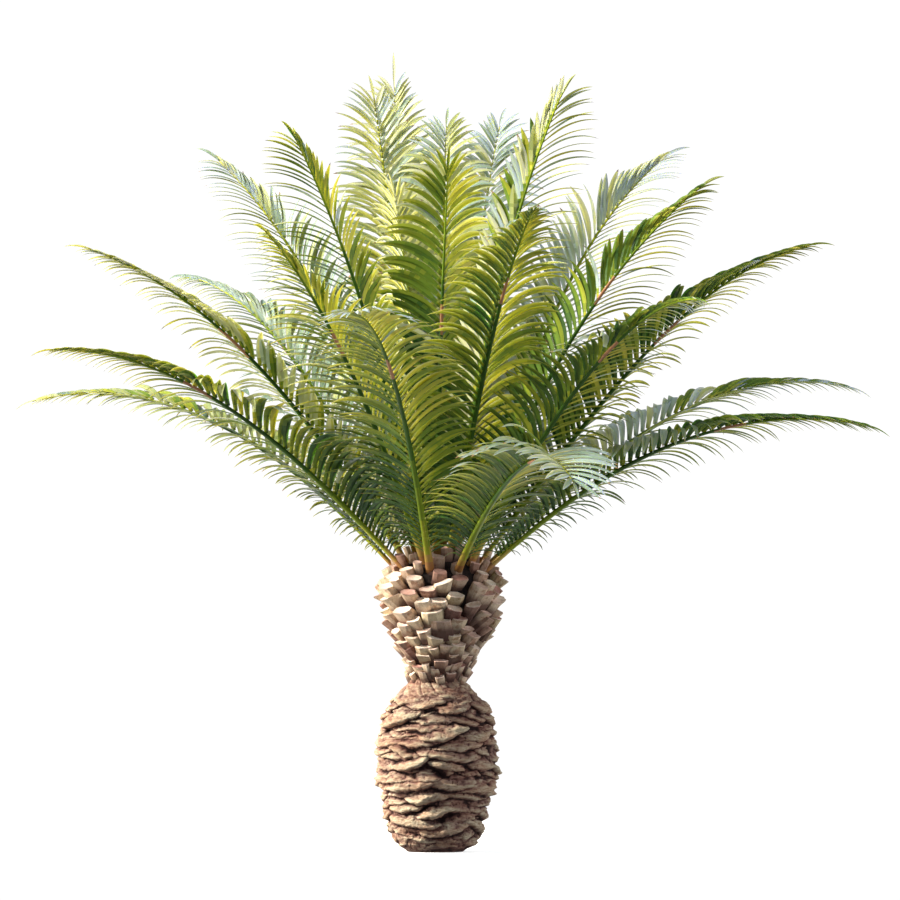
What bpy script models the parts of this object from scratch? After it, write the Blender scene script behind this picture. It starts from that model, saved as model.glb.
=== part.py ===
"""Canary Island date palm, young plant: a swollen trunk foot, a collar of cut leaf
bases above a narrow neck, and a crown of long arching feather fronds.

Metres, +Z up. The origin is the middle of the flat cut at ground level.
Every frond is a thin, slightly V-shaped blade of its own outline: a rib curve that rises from the
crown and bends over under its weight, with a wing on each side as wide as the leaflets
reach. Each frond is two nodes, an inner and an outer length, split at the bend.
"""
import math

import bmesh
import bpy
import numpy as np
from mathutils import Vector

# ---------------------------------------------------------------- driving dimensions
NAME = "canary_island_date_palm"

CUT_R = 0.195            # radius of the flat cut at ground level
FOOT_R = 0.305           # trunk foot
FOOT_Z = 0.200
BELLY_R = 0.380          # widest part of the swollen lower trunk
BELLY_Z = 0.620
SHOULDER_R = 0.325
SHOULDER_Z = 0.860
NECK_R = 0.186           # narrow neck between lower trunk and collar
NECK_Z = 1.064
CORE_R = 0.140           # trunk inside the collar of leaf bases
CORE_TOP_Z = 1.740
TIP_R = 0.090            # growing tip, closed flat
TIP_Z = 1.790
LEAN_X = 0.044           # sideways lean of the crown centre over the ground cut
NECK_X = 0.030           # and of the neck

COLLAR_FOOT_R = 0.196    # collar of cut leaf bases, bottom to rim
COLLAR_MID_R = 0.341
COLLAR_MID_Z = 1.420
COLLAR_RIM_R = 0.388
COLLAR_RIM_Z = 1.590
COLLAR_LIP_R = 0.372
COLLAR_LIP_Z = 1.700
COLLAR_TOP_Z = 1.795     # inner edge of the collar's sloping top
COLLAR_BORE_R = 0.158    # hole of the collar, clear of the leaning core
GAP = 0.001              # clear gap between neighbouring solids

LEAFLET = 0.44           # longest leaflet
PETIOLE = 0.080          # bare share of a frond's length at its foot
BLADE_T = 0.010          # blade thickness
RIB_HALF = 0.024         # half width of the bare leaf stalk
STATIONS = 13            # cross-sections along one frond
ROUND = 28               # sides of the trunk and collar
LIFT = 12                # how far the wings stand up from flat, in degrees
SPLIT = 0.5              # share of the rib where the inner length ends

# One line for each frond. heading: compass direction it leans to, 0 = +X, 90 = +Y.
# rise: slope at its foot; bend: how far it turns over to its tip; curl: how late the bend
# comes; reach: length along the rib; sweep: sideways turn to the tip; all in degrees and
# metres. seat: radius and direction of its foot on the crown.
FRONDS = (
    # heading rise bend curl reach sweep  seat r, direction
    (167, 46, 63, 1.7, 2.80, -4, 0.29, 165),
    (205, 44, 52, 2.0, 2.93, 14, 0.27, 207),
    (198, 54, 40, 2.3, 2.95, 1, 0.21, 190),
    (143, 59, 60, 2.3, 2.98, -19, 0.25, 150),
    (144, 70, 32, 1.7, 3.14, 6, 0.19, 140),
    (235, 59, 40, 1.9, 2.87, 13, 0.22, 242),
    (231, 73, 27, 1.6, 2.97, 5, 0.15, 220),
    (112, 71, 2, 1.6, 3.32, -20, 0.05, 100),
    (120, 79, 8, 1.6, 3.12, -5, 0.13, 132),
    (92, 88, 28, 1.6, 2.94, -8, 0.11, 84),
    (69, 83, 28, 1.6, 3.03, 3, 0.15, 56),
    (310, 78, 24, 1.8, 3.13, 1, 0.09, 320),
    (291, 63, 59, 2.5, 2.97, -13, 0.16, 286),
    (32, 71, 38, 2.5, 3.10, -9, 0.21, 30),
    (330, 65, 35, 1.8, 2.96, -5, 0.17, 338),
    (343, 52, 46, 3.2, 3.03, -3, 0.23, 350),
    (313, 51, 62, 2.2, 3.03, -22, 0.24, 316),
    (21, 42, 59, 2.1, 2.95, 0, 0.27, 12),
    (338, 40, 56, 1.5, 2.83, -2, 0.30, 338),
    (286, 32, 57, 1.4, 3.03, -7, 0.30, 290),
    (259, 52, 58, 1.8, 2.92, -1, 0.29, 256),
    (72, 54, 58, 1.6, 2.95, 0, 0.22, 70),
    (106, 50, 56, 1.6, 2.95, 0, 0.23, 110),
    (90, 38, 62, 1.5, 2.85, 0, 0.29, 90),
    (92, 66, 58, 1.7, 3.00, 0, 0.21, 98),
    (288, 87, 9, 1.5, 2.52, -4, 0.048, 222),
    (136, 86, 9, 1.5, 2.40, 6, 0.080, 166),
)

# ---------------------------------------------------------------- scene set-up
for old in list(bpy.data.objects):
    bpy.data.objects.remove(old, do_unlink=True)
parts = bpy.data.collections.new(NAME)
bpy.context.scene.collection.children.link(parts)


def material(name, colour, rough):
    mat = bpy.data.materials.new(name)
    mat.use_nodes = True
    shader = mat.node_tree.nodes["Principled BSDF"]
    shader.inputs["Base Color"].default_value = (*colour, 1.0)
    shader.inputs["Roughness"].default_value = rough
    shader.inputs["Metallic"].default_value = 0.0
    mat.diffuse_color = (*colour, 1.0)
    return mat


def add(name, data, mat):
    obj = bpy.data.objects.new(name, data)
    parts.objects.link(obj)
    data.materials.append(mat)
    return obj


def smooth(t):
    t = min(1.0, max(0.0, t))
    return t * t * (3.0 - 2.0 * t)


# ---------------------------------------------------------------- trunk
# The lower trunk swells from the flat cut to a wide belly and draws in to the neck. Its
# core carries on inside the collar and ends under the crown as the growing tip.
def lower_radius(z):
    rings = ((0.0, CUT_R), (FOOT_Z, FOOT_R), (BELLY_Z, BELLY_R), (SHOULDER_Z, SHOULDER_R), (NECK_Z, NECK_R))
    for (za, ra), (zb, rb) in zip(rings, rings[1:]):
        if z <= zb:
            t = (z - za) / (zb - za)
            if za < BELLY_Z:                      # fuller below the belly
                return ra + (rb - ra) * math.sin(t * math.pi / 2) ** 0.9
            if za < SHOULDER_Z:                   # rounds over the belly
                return ra + (rb - ra) * (1 - math.cos(t * math.pi / 2))
            return ra + (rb - ra) * smooth(t) ** 0.9
    return NECK_R


def lean(z):
    if z < NECK_Z + 0.02:
        return NECK_X * smooth((z - 0.10) / 0.5)
    return NECK_X + (LEAN_X - NECK_X) * smooth((z - NECK_Z) / (CORE_TOP_Z - NECK_Z))


steps = 16
rings = [(i * NECK_Z / steps, lower_radius(i * NECK_Z / steps)) for i in range(steps + 1)]
rings += [(NECK_Z + 0.010, CORE_R), (1.30, CORE_R), (1.52, CORE_R), (CORE_TOP_Z, CORE_R), (TIP_Z, TIP_R)]
path = bpy.data.curves.new("trunk", "CURVE")
path.dimensions = "3D"
path.bevel_depth = 1.0
path.bevel_resolution = ROUND // 2 - 2
path.use_fill_caps = True
line = path.splines.new("POLY")
line.points.add(len(rings) - 1)
for point, (z, r) in zip(line.points, rings):
    # the axis is upright at the ground and at the tip, so both ends are level
    point.co = (lean(z), 0.0, z, 1.0)
    point.radius = r
trunk = add("trunk", path, material("trunk_wood", (0.42, 0.31, 0.22), 0.9))

# ---------------------------------------------------------------- collar of cut leaf bases
# A turned ring round the core: its outer side is the line of the cut ends.
outer = [(COLLAR_FOOT_R, NECK_Z + 0.012)]
for i in range(1, 5):
    t = i / 4
    outer.append((COLLAR_FOOT_R + (COLLAR_MID_R - COLLAR_FOOT_R) * t ** 1.35,
                  NECK_Z + 0.012 + (COLLAR_MID_Z - NECK_Z - 0.012) * t))
for i in range(1, 4):
    t = i / 3
    outer.append((COLLAR_MID_R + (COLLAR_RIM_R - COLLAR_MID_R) * math.sin(t * math.pi / 2),
                  COLLAR_MID_Z + (COLLAR_RIM_Z - COLLAR_MID_Z) * t))
outer.append((COLLAR_LIP_R, COLLAR_LIP_Z))
inner_r = COLLAR_BORE_R
profile = outer + [(inner_r, COLLAR_TOP_Z), (inner_r, NECK_Z + 0.012)]
profile.reverse()                                  # runs down the outer side
ring = bpy.data.meshes.new("leaf_base_collar")
ring.from_pydata([(r, 0.0, z) for r, z in profile], [(i, (i + 1) % len(profile)) for i in range(len(profile))], [])
collar = add("leaf_base_collar", ring, material("cut_leaf_bases", (0.50, 0.40, 0.28), 0.85))
collar.location = (LEAN_X, 0.0, 0.0)
turn = collar.modifiers.new("turn", "SCREW")
turn.angle = 2 * math.pi
turn.steps = turn.render_steps = ROUND
turn.use_merge_vertices = True
turn.merge_threshold = 0.00001
turn.use_smooth_shade = True


def collar_top(r):
    """Height of the collar's sloping top, or of the growing tip inside it."""
    if r < inner_r:
        return COLLAR_TOP_Z
    return COLLAR_TOP_Z + (COLLAR_LIP_Z - COLLAR_TOP_Z) * (r - inner_r) / (COLLAR_LIP_R - inner_r)


# ---------------------------------------------------------------- fronds
FINE = 120


class Frond:
    """The rib of one frond as a fine line with its directions along it."""

    def __init__(self, heading, rise, bend, curl, reach, sweep, seat_r, seat_dir):
        self.reach = reach
        u = (np.arange(FINE) + 0.5) / FINE
        slope = np.radians(rise - bend * u ** curl)
        course = np.radians(heading + sweep * u ** 2)
        step = np.stack([np.cos(slope) * np.cos(course), np.cos(slope) * np.sin(course), np.sin(slope)], 1)
        foot = np.array([LEAN_X + seat_r * math.cos(math.radians(seat_dir)),
                         seat_r * math.sin(math.radians(seat_dir)), collar_top(seat_r)])
        self.line = np.concatenate([foot[None], foot + np.cumsum(step, 0) * reach / FINE])
        edge = np.arange(FINE + 1) / FINE
        self.slope = np.radians(rise - bend * edge ** curl)
        self.course = np.radians(heading + sweep * edge ** 2)
        # the stalk starts where it is clear of the collar under it
        k = 0
        while True:
            p = self.line[k]
            r = math.hypot(p[0] - LEAN_X, p[1])
            if p[2] - collar_top(r) > BLADE_T * 0.5 + RIB_HALF * 0.35 + 0.003:
                break
            k += 1
        self.start = k / FINE

    def at(self, u):
        """Point, forward, left and upper directions at share u of the rib."""
        grid = np.arange(FINE + 1) / FINE
        p = np.array([np.interp(u, grid, self.line[:, i]) for i in range(3)])
        s, c = np.interp(u, grid, self.slope), np.interp(u, grid, self.course)
        fore = np.array([math.cos(s) * math.cos(c), math.cos(s) * math.sin(c), math.sin(s)])
        left = np.array([-math.sin(c), math.cos(c), 0.0])
        return p, fore, left, np.cross(fore, left)


def leaflet_length(u):
    if u < PETIOLE:
        return RIB_HALF
    grow = smooth((u - PETIOLE) / 0.22)
    fade = min(1.0, (max(0.0, 1.0 - u) / 0.38) ** 0.6)
    return RIB_HALF + (LEAFLET - RIB_HALF) * (0.25 * smooth((u - PETIOLE) / 0.03) + 0.75 * grow) * fade


fronds = [Frond(*row) for row in FRONDS]
ribs = [f.line[int(f.start * FINE)::3] for f in fronds]


def wing(frond, own, u, side):
    """The outer edge of the wing at u: as far as the leaflets reach, or as far as the
    space nearer to this rib than to any other rib goes."""
    p, fore, left, up = frond.at(u)
    spread = math.radians(68 - 34 * u)
    lift = math.radians(LIFT)
    if u < PETIOLE:
        spread = math.radians(90)
    out = fore * math.cos(spread) + (left * side * math.cos(lift) + up * math.sin(lift)) * math.sin(spread)
    full = min(leaflet_length(u), max(0.012, (1.0 - u) * frond.reach / max(0.3, math.cos(spread))))
    best = 0.010
    t = 0.014
    while t <= full + 1e-6:
        x = p + out * t - np.array([0, 0, 0.22]) * t * t
        own_d = np.sqrt(((own - x) ** 2).sum(1)).min()
        other = min(np.sqrt(((r - x) ** 2).sum(1)).min() for r in ribs if r is not own)
        if other < own_d + BLADE_T + 0.010:
            break
        best = t
        t += 0.008
    return best, p, out


def blade(name, frond, own, a, b, count, mat):
    """One length of a frond between shares a and b of its rib, as a solidified strip."""
    stations = [a + (b - a) * i / (count - 1) for i in range(count)]
    widths = {}
    for side in (1, -1):
        found = [wing(frond, own, u, side) for u in stations]
        w = [f[0] for f in found]
        for _ in range(3):                       # no sudden steps in the outline
            w = [min(w[i], *(w[j] + 0.16 for j in (i - 1, i + 1) if 0 <= j < count)) for i in range(count)]
        widths[side] = [(f[1], f[2], t) for f, t in zip(found, w)]
    verts, faces = [], []
    for i, u in enumerate(stations):
        for side in (1, 0, -1):
            if side == 0:
                verts.append(tuple(frond.at(u)[0]))
            else:
                p, out, t = widths[side][i]
                verts.append(tuple(p + out * t - np.array([0, 0, 0.22]) * t * t))
    for i in range(count - 1):
        k = 3 * i
        faces += [(k, k + 1, k + 4, k + 3), (k + 1, k + 2, k + 5, k + 4)]
    mesh = bpy.data.meshes.new(name)
    mesh.from_pydata(verts, [], faces)
    mesh.update()
    obj = add(name, mesh, mat)
    thick = obj.modifiers.new("thickness", "SOLIDIFY")
    thick.thickness = BLADE_T
    thick.offset = 0.0
    return obj


for n, (frond, own) in enumerate(zip(fronds, ribs), 1):
    tint = 0.02 * math.sin(n * 2.4)
    mat = material("frond_green_%02d" % n, (0.17 + tint, 0.26 + tint, 0.07 + tint), 0.6)
    name = "frond_%02d" % n
    half = STATIONS // 2 + 1
    blade(name + "_inner", frond, own, frond.start, SPLIT - 0.0005, half, mat)
    blade(name + "_outer", frond, own, SPLIT + 0.0005, 1.0, half, mat)
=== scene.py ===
"""Looks of the Canary Island date palm: fronds of rib and leaflets, the folded bark of the
swollen trunk foot, and the cut leaf bases, all made by seeded rules in mesh code."""
import math

import bpy
import numpy as np
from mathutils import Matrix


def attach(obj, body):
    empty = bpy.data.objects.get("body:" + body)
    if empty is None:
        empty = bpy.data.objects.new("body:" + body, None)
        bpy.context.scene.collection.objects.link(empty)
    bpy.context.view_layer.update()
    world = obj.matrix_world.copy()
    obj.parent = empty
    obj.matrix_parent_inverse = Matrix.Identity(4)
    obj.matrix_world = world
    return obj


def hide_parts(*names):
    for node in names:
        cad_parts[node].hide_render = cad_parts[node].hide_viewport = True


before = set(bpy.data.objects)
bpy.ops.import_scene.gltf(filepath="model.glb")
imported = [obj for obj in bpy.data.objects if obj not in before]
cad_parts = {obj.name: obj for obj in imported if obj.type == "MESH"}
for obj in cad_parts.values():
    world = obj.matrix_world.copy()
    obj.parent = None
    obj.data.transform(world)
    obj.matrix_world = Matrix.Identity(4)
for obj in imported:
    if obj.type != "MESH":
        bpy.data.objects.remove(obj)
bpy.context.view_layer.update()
scene = bpy.context.scene

# ---------------------------------------------------------------- sizes shared with the part
CUT_R, FOOT_R, FOOT_Z = 0.195, 0.305, 0.200
BELLY_R, BELLY_Z = 0.380, 0.620
SHOULDER_R, SHOULDER_Z = 0.325, 0.860
NECK_R, NECK_Z = 0.186, 1.064
CORE_TOP_Z = 1.740
LEAN_X, NECK_X = 0.044, 0.030
COLLAR_FOOT_R = 0.196
COLLAR_MID_R, COLLAR_MID_Z = 0.341, 1.420
COLLAR_RIM_R, COLLAR_RIM_Z = 0.388, 1.590
COLLAR_LIP_R, COLLAR_LIP_Z = 0.372, 1.700
COLLAR_TOP_Z, COLLAR_BORE_R = 1.795, 0.158

# heading rise bend curl reach sweep  seat r, direction
FRONDS = (
    (167, 46, 63, 1.7, 2.80, -4, 0.29, 165),
    (205, 44, 52, 2.0, 2.93, 14, 0.27, 207),
    (198, 54, 40, 2.3, 2.95, 1, 0.21, 190),
    (143, 59, 60, 2.3, 2.98, -19, 0.25, 150),
    (144, 70, 32, 1.7, 3.14, 6, 0.19, 140),
    (235, 59, 40, 1.9, 2.87, 13, 0.22, 242),
    (231, 73, 27, 1.6, 2.97, 5, 0.15, 220),
    (112, 71, 2, 1.6, 3.32, -20, 0.05, 100),
    (120, 79, 8, 1.6, 3.12, -5, 0.13, 132),
    (92, 88, 28, 1.6, 2.94, -8, 0.11, 84),
    (69, 83, 28, 1.6, 3.03, 3, 0.15, 56),
    (310, 78, 24, 1.8, 3.13, 1, 0.09, 320),
    (291, 63, 59, 2.5, 2.97, -13, 0.16, 286),
    (32, 71, 38, 2.5, 3.10, -9, 0.21, 30),
    (330, 65, 35, 1.8, 2.96, -5, 0.17, 338),
    (343, 52, 46, 3.2, 3.03, -3, 0.23, 350),
    (313, 51, 62, 2.2, 3.03, -22, 0.24, 316),
    (21, 42, 59, 2.1, 2.95, 0, 0.27, 12),
    (338, 40, 56, 1.5, 2.83, -2, 0.30, 338),
    (286, 32, 57, 1.4, 3.03, -7, 0.30, 290),
    (259, 52, 58, 1.8, 2.92, -1, 0.29, 256),
    (72, 54, 58, 1.6, 2.95, 0, 0.22, 70),
    (106, 50, 56, 1.6, 2.95, 0, 0.23, 110),
    (90, 38, 62, 1.5, 2.85, 0, 0.29, 90),
    (92, 66, 58, 1.7, 3.00, 0, 0.21, 98),
    (288, 87, 9, 1.5, 2.52, -4, 0.048, 222),
    (136, 86, 9, 1.5, 2.40, 6, 0.080, 166),
)


def smooth(t):
    t = np.clip(t, 0.0, 1.0)
    return t * t * (3.0 - 2.0 * t)


def unit(v):
    return v / np.maximum(np.linalg.norm(v, axis=-1, keepdims=True), 1e-9)


def lerp(x, pairs):
    return np.interp(x, [p[0] for p in pairs], [p[1] for p in pairs])


# ---------------------------------------------------------------- seeded noise
def hash3(i, seed):
    n = i[..., 0] * 73856093 ^ i[..., 1] * 19349663 ^ i[..., 2] * 83492791 ^ (seed * 2654435761 & 0x7FFFFFFF)
    n = n.astype(np.int64) & 0x7FFFFFFF
    n = (n ^ (n >> 13)) * 1274126177 & 0x7FFFFFFF
    n = (n ^ (n >> 16)) * 668265263 & 0x7FFFFFFF
    return ((n ^ (n >> 15)) & 0xFFFFFF) / float(0xFFFFFF) * 2.0 - 1.0


def noise3(p, seed=0):
    """Smooth value noise from -1 to 1 at points p."""
    p = np.asarray(p, float)
    cell = np.floor(p).astype(np.int64)
    f = p - cell
    f = f * f * f * (f * (f * 6 - 15) + 10)
    total = 0.0
    for dx in (0, 1):
        for dy in (0, 1):
            for dz in (0, 1):
                w = ((f[..., 0] if dx else 1 - f[..., 0]) * (f[..., 1] if dy else 1 - f[..., 1])
                     * (f[..., 2] if dz else 1 - f[..., 2]))
                total = total + w * hash3(cell + np.array([dx, dy, dz]), seed)
    return total


def fractal(p, seed=0, octaves=3):
    total, amp = 0.0, 1.0
    for k in range(octaves):
        total = total + amp * noise3(np.asarray(p) * 2.03 ** k, seed + k)
        amp *= 0.5
    return total / 1.75


# ---------------------------------------------------------------- materials
def plain(name, colour, rough=0.5, specular=0.35, through=0.0):
    mat = bpy.data.materials.new(name)
    mat.use_nodes = True
    shader = mat.node_tree.nodes["Principled BSDF"]
    shader.inputs["Base Color"].default_value = (*colour, 1.0)
    shader.inputs["Roughness"].default_value = rough
    shader.inputs["Specular IOR Level"].default_value = specular
    if through:
        shader.inputs["Subsurface Weight"].default_value = through
        shader.inputs["Subsurface Radius"].default_value = (1.0, 0.85, 0.25)
        shader.inputs["Subsurface Scale"].default_value = 0.010
    mat.diffuse_color = (*colour, 1.0)
    return mat


def mix_colour(a, b, t):
    return tuple(x + (y - x) * t for x, y in zip(a, b))


def palette(name, stops, count, rough, specular=0.35, through=0.0):
    """count plain materials along a line of colours; through is how much light soaks into them."""
    made = []
    for i in range(count):
        x = i / (count - 1) * (len(stops) - 1)
        k = min(int(x), len(stops) - 2)
        made.append(plain("%s_%02d" % (name, i), mix_colour(stops[k], stops[k + 1], x - k), rough, specular, through))
    return made


# upper side of the leaflets: five blue-greens from deep to pale, then four warm tones from olive to cream
UPPER = palette("leaflet_upper", ((0.070, 0.130, 0.082), (0.130, 0.210, 0.140), (0.210, 0.305, 0.215), (0.32, 0.42, 0.32),
                                  (0.50, 0.62, 0.52)), 5, 0.40, 0.48, 0.70)
UPPER += palette("leaflet_warm", ((0.160, 0.215, 0.070), (0.31, 0.36, 0.120), (0.50, 0.52, 0.200), (0.74, 0.72, 0.36)), 4, 0.42, 0.42, 0.65)
# lower side: deep green to olive, then yellow
LOWER = palette("leaflet_lower", ((0.014, 0.048, 0.011), (0.052, 0.122, 0.018), (0.152, 0.245, 0.023),
                                  (0.39, 0.420, 0.036), (0.72, 0.63, 0.08)), 9, 0.48, 0.18, 0.30)
DRY = plain("leaflet_dry_tip", (0.32, 0.20, 0.10), 0.7, 0.2)
# rib and stalk
RIB_FOOT = palette("stalk_foot", ((0.20, 0.085, 0.040), (0.38, 0.185, 0.060), (0.46, 0.36, 0.050)), 5, 0.45, 0.20)
RIB_GREEN = palette("rib_green", ((0.010, 0.038, 0.004), (0.042, 0.105, 0.007), (0.20, 0.285, 0.012), (0.50, 0.50, 0.030)),
                    7, 0.46, 0.12)
RIB_PINK = plain("rib_pink", (0.40, 0.185, 0.085), 0.42, 0.25)
LEAF_MATS = UPPER + LOWER + [DRY]
RIB_MATS = RIB_FOOT + RIB_GREEN + [RIB_PINK]


def mesh_object(name, verts, faces, mats, face_mat=None, sharp=None, smooth_faces=True):
    mesh = bpy.data.meshes.new(name)
    mesh.from_pydata([tuple(v) for v in verts], [], [tuple(int(i) for i in f) for f in faces])
    for m in mats:
        mesh.materials.append(m)
    if face_mat is not None:
        mesh.polygons.foreach_set("material_index", np.asarray(face_mat, np.int32))
    mesh.polygons.foreach_set("use_smooth", np.full(len(mesh.polygons), bool(smooth_faces)))
    if sharp is not None:
        pairs = np.zeros(len(mesh.edges) * 2, np.int32)
        mesh.edges.foreach_get("vertices", pairs)
        flags = sharp(pairs.reshape(-1, 2))
        mesh.attributes.new("sharp_edge", "BOOLEAN", "EDGE").data.foreach_set("value", flags)
    mesh.update()
    obj = bpy.data.objects.new(name, mesh)
    scene.collection.objects.link(obj)
    return obj


def finish_piece(obj, slot, *nodes):
    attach(obj, "root")
    if nodes:
        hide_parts(*nodes)
    return obj


# ---------------------------------------------------------------- shape of the trunk and collar
def lower_radius(z):
    rings = ((0.0, CUT_R), (FOOT_Z, FOOT_R), (BELLY_Z, BELLY_R), (SHOULDER_Z, SHOULDER_R), (NECK_Z, NECK_R))
    z = np.asarray(z, float)
    out = np.full(z.shape, NECK_R)
    for (za, ra), (zb, rb) in reversed(list(zip(rings, rings[1:]))):
        t = np.clip((z - za) / (zb - za), 0, 1)
        if za < BELLY_Z:
            r = ra + (rb - ra) * np.sin(t * math.pi / 2) ** 0.9
        elif za < SHOULDER_Z:
            r = ra + (rb - ra) * (1 - np.cos(t * math.pi / 2))
        else:
            r = ra + (rb - ra) * smooth(t) ** 0.9
        out = np.where(z <= zb, r, out)
    return out


def lean(z):
    return lerp(np.asarray(z, float), ((0.0, 0.004), (0.30, 0.010), (0.90, 0.012), (NECK_Z, 0.022), (1.30, 0.032), (1.46, LEAN_X),
                                       (CORE_TOP_Z, LEAN_X)))


def collar_radius(z):
    return lerp(z, ((NECK_Z, COLLAR_FOOT_R), (1.15, 0.215), (1.25, 0.260), (1.34, 0.303), (COLLAR_MID_Z, COLLAR_MID_R),
                    (1.50, 0.373), (COLLAR_RIM_Z, COLLAR_RIM_R), (COLLAR_LIP_Z, COLLAR_LIP_R), (1.76, 0.330), (1.80, 0.27)))


def collar_top(r):
    if r < COLLAR_BORE_R:
        return COLLAR_TOP_Z
    return COLLAR_TOP_Z + (COLLAR_LIP_Z - COLLAR_TOP_Z) * (r - COLLAR_BORE_R) / (COLLAR_LIP_R - COLLAR_BORE_R)


# ---------------------------------------------------------------- fronds
FINE = 240
BELOW = 16               # fine steps that the stalk runs on down between the leaf bases


class Frond:
    def __init__(self, heading, rise, bend, curl, reach, sweep, seat_r, seat_dir):
        self.reach, self.rise, self.bend = reach, rise, bend
        # the blade rolls so that the wing nearer the middle of the crown stands up, most of all on a steep rib
        turned = math.sin(math.radians(2 * heading))
        self.most = math.radians(lerp(rise, ((40, 38), (52, 45), (64, 54), (80, 55))))
        self.roll = self.most * math.copysign(min(1.0, 1.04 * abs(turned) ** 0.55), turned)
        u = (np.arange(FINE) + 0.5) / FINE
        slope = np.radians(rise - bend * u ** curl)
        course = np.radians(heading + sweep * u ** 2)
        step = np.stack([np.cos(slope) * np.cos(course), np.cos(slope) * np.sin(course), np.sin(slope)], 1)
        foot = np.array([LEAN_X + seat_r * math.cos(math.radians(seat_dir)),
                         seat_r * math.sin(math.radians(seat_dir)), collar_top(seat_r)])
        self.line = np.concatenate([foot[None], foot + np.cumsum(step, 0) * reach / FINE])
        self.grid = np.arange(FINE + 1) / FINE
        self.slope = np.radians(rise - bend * self.grid ** curl)
        self.course = np.radians(heading + sweep * self.grid ** 2)

    def at(self, u, rolled=False):
        """Point, forward, left and upper directions at shares u of the rib; below zero it runs on down into the collar."""
        u = np.asarray(u, float)
        c = np.clip(u, 0, 1)
        p = np.stack([np.interp(c, self.grid, self.line[:, i]) for i in range(3)], -1)
        s, h = np.interp(c, self.grid, self.slope), np.interp(c, self.grid, self.course)
        s = s + np.clip(-u, 0, 1) * 2.5
        fore = np.stack([np.cos(s) * np.cos(h), np.cos(s) * np.sin(h), np.sin(s)], -1)
        p = p + fore * (np.minimum(u, 0) * self.reach)[..., None]
        left = np.stack([-np.sin(h), np.cos(h), np.zeros_like(h)], -1)
        up = np.cross(fore, left)
        if rolled:
            r = (self.roll * smooth((u + 0.06) / 0.36))[..., None]
            left, up = left * np.cos(r) + up * np.sin(r), up * np.cos(r) - left * np.sin(r)
        return p, fore, left, up


def rib_half(u):
    """Half width of the rib."""
    return lerp(u, ((-0.05, 0.034), (0.0, 0.0285), (0.04, 0.0235), (0.12, 0.020), (0.30, 0.0155), (0.55, 0.0115),
                    (0.80, 0.0068), (0.95, 0.0036), (1.0, 0.0022)))


def rib_thick(u):
    return lerp(u, ((-0.05, 0.017), (0.0, 0.0155), (0.06, 0.0145), (0.20, 0.0150), (0.50, 0.0108), (0.80, 0.0060),
                    (1.0, 0.0018)))


SEGMENTS = 13            # lengths along one leaflet
SPACING = 0.0500         # between leaflets on one side of a rib
RIB_END = 0.950          # the last leaflet carries on from here to the frond's tip
SUN = np.array([math.cos(math.radians(33)) * math.cos(math.radians(189)),
                math.cos(math.radians(33)) * math.sin(math.radians(189)), math.sin(math.radians(33))])
# blades that lie evenly to both sides, by frond number, in degrees
EVEN = {13: 2, 10: 0, 20: -6, 21: 6, 25: 0, 23: 4, 8: -16, 9: -20, 11: 8, 26: 3, 27: -8}


# how much shorter the leaflets of the raised wing are, by frond number
SHORTER = {3: 0.46, 5: 0.22, 6: 0.15, 7: 0.30, 14: 0.08, 15: 0.26, 16: 0.14, 19: 0.10}


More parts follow.
